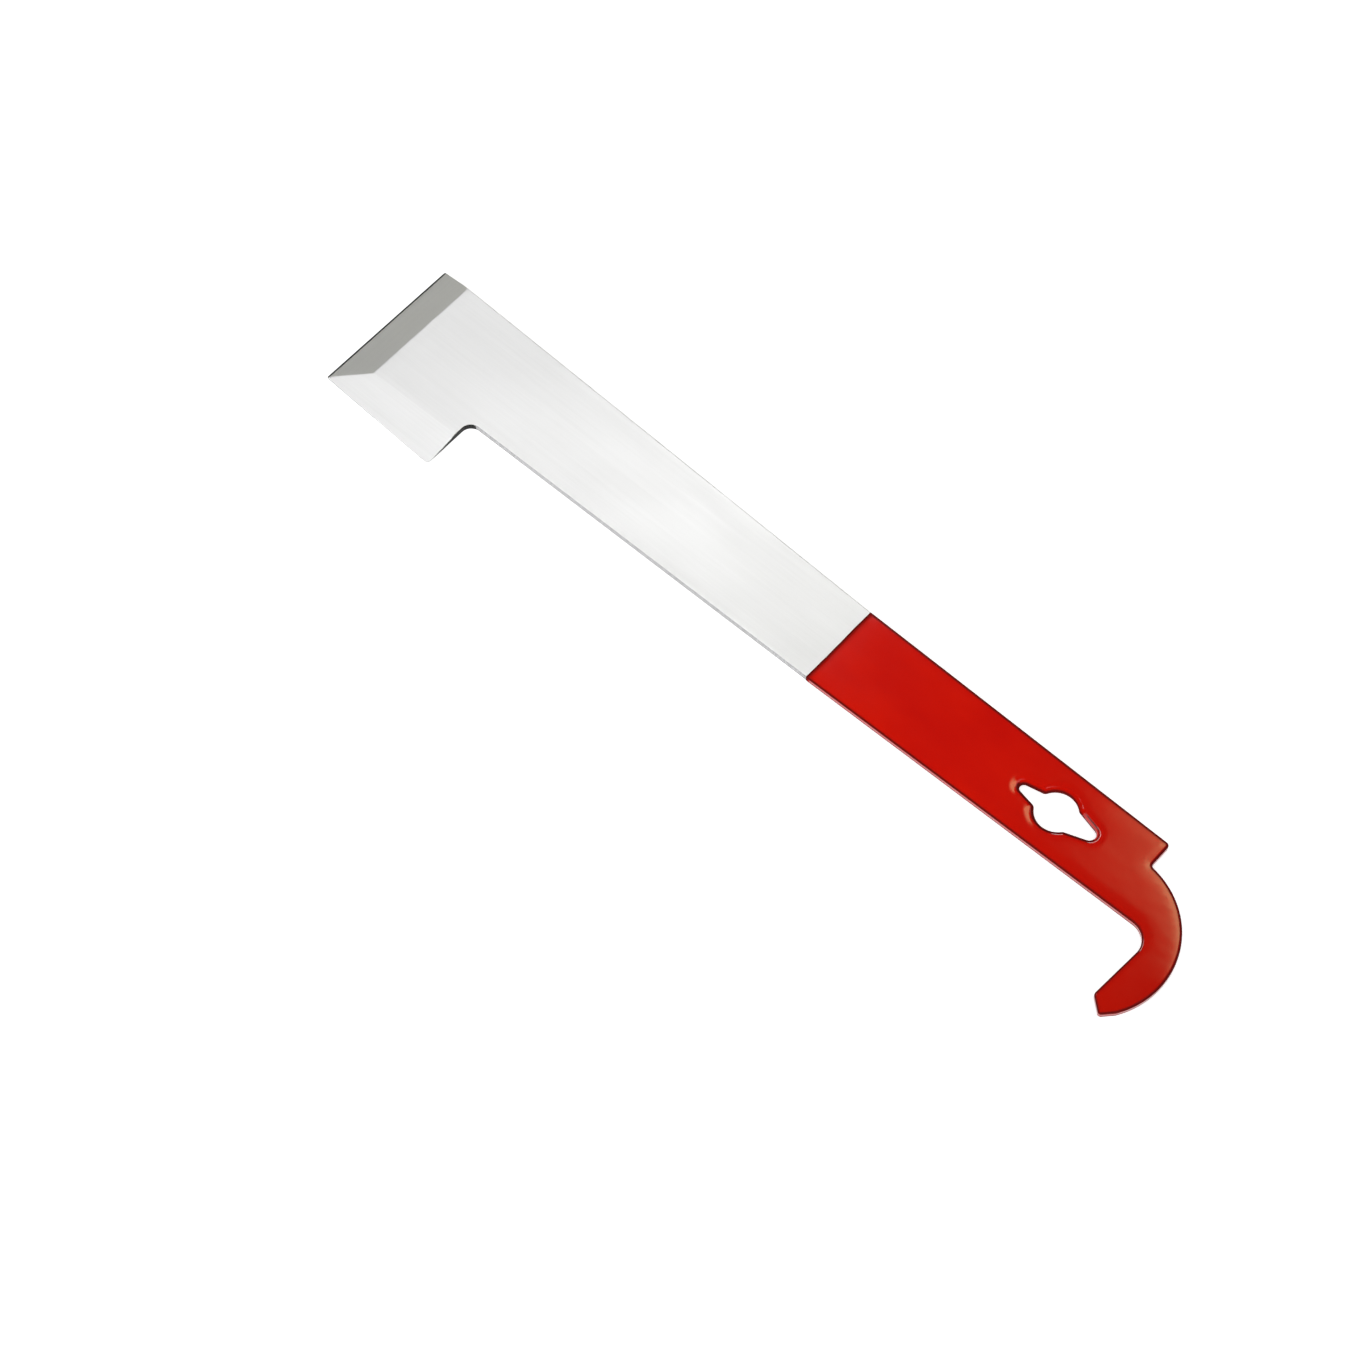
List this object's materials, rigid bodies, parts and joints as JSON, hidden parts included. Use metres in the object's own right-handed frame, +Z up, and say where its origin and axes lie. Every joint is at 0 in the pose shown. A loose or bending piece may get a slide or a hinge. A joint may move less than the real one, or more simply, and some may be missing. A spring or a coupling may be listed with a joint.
{
  "type": "hive tool",
  "caption": "Flat stainless hive tool with a bevelled scraping blade and foot, a lobed nail hole, a frame-lifting J hook and a red coated handle.",
  "frame": {"origin": "under the middle of the tool's bounding box, on the surface it lies on", "axes": "+X from the cutting edge to the hook, +Y to the side away from the foot and the hook's opening, +Z up out of the bevelled face"},
  "size_m": [0.2673, 0.0508, 0.0023],
  "materials": {
    "ground_steel": "fine lengthwise brushed grain, cross-ground bevels, satin",
    "red_coating": "thick glossy red dipped enamel with a faint orange peel"
  },
  "bodies": {
    "root": {"steel_blade": "ground_steel", "handle_coating": "red_coating"}
  },
  "joints": []
}
